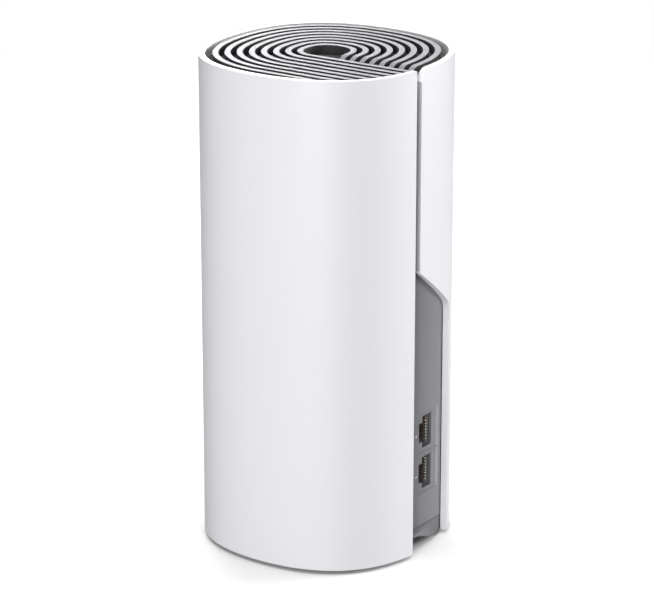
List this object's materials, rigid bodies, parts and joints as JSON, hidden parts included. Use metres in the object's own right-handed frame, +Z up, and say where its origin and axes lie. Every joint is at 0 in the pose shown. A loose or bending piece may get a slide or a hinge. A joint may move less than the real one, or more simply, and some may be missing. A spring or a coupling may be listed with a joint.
{
  "type": "mesh wifi node",
  "caption": "Rounded-square tower router with an open wrap-round shell, ribbed top grille, recessed rear network sockets and an underside power inlet.",
  "frame": {"origin": "middle of the underside, on the ground", "axes": "+Z up along the tower, +Y out of the rear panel, +X to the side of the shell's free edge"},
  "size_m": [0.0908, 0.0908, 0.19],
  "materials": {
    "shell_white": "satin white moulding",
    "rib_grey": "light grey-lilac, fine texture",
    "dark_plastic": "charcoal, fine texture",
    "panel_grey": "mid grey, fine spark texture",
    "jack_plastic": "dark grey",
    "rubber_black": "soft matt black",
    "tin_steel": "tinned sheet",
    "contact_gold": "gold plated",
    "screw_steel": "zinc plated",
    "board_green": "solder mask on glass fibre board",
    "chip_black": "moulded epoxy",
    "sink_aluminium": "extruded, matt",
    "thermal_pad": "soft silicone",
    "lead_black": "cable jacket",
    "lens_clear": "clear polycarbonate"
  },
  "bodies": {
    "tower": {"antenna_board_1": "board_green", "antenna_board_2": "board_green", "antenna_board_3": "board_green", "antenna_board_4": "board_green", "antenna_connector_1": "contact_gold", "antenna_connector_2": "contact_gold", "antenna_connector_3": "contact_gold", "antenna_connector_4": "contact_gold", "antenna_lead_1": "lead_black", "antenna_lead_2": "lead_black", "antenna_lead_3": "lead_black", "antenna_lead_4": "lead_black", "base_board": "board_green", "base_moulding": "panel_grey", "board_connector": "chip_black", "bottom_cover": "dark_plastic", "cover_screw_1": "screw_steel", "cover_screw_2": "screw_steel", "cover_screw_3": "screw_steel", "cover_screw_4": "screw_steel", "dc_centre_pin": "tin_steel", "dc_inlet_housing": "chip_black", "dc_sleeve_contact": "tin_steel", "flash_chip": "chip_black", "foot_ring": "rubber_black", "heat_sink": "sink_aluminium", "heat_spreader": "sink_aluminium", "inner_chassis": "dark_plastic", "light_pipe": "lens_clear", "lower_jack_contacts": "contact_gold", "lower_jack_insulator": "jack_plastic", "lower_jack_shield": "tin_steel", "main_board": "board_green", "memory_chip": "chip_black", "network_transformer": "chip_black", "outer_shell": "shell_white", "power_capacitor": "sink_aluminium", "power_inductor": "chip_black", "processor": "chip_black", "processor_pad": "thermal_pad", "rear_panel": "panel_grey", "reset_spring": "screw_steel", "reset_switch": "tin_steel", "shield_can": "tin_steel", "shield_pad": "thermal_pad", "sink_screw_1": "screw_steel", "sink_screw_2": "screw_steel", "sink_screw_3": "screw_steel", "sink_screw_4": "screw_steel", "status_led": "lens_clear", "top_floor": "dark_plastic", "top_grille": "rib_grey", "upper_jack_contacts": "contact_gold", "upper_jack_insulator": "jack_plastic", "upper_jack_shield": "tin_steel", "wifi_chip": "chip_black"},
    "button": {"reset_button": "jack_plastic"}
  },
  "joints": [
    {"name": "reset_press", "type": "slide", "parent": "tower", "child": "button", "axis": [0, 0, 1], "range_m": [0, 0.0005], "stiffness_N_per_m": 400, "springref_m": -0.0005, "deforming": ["reset_spring"]}
  ]
}
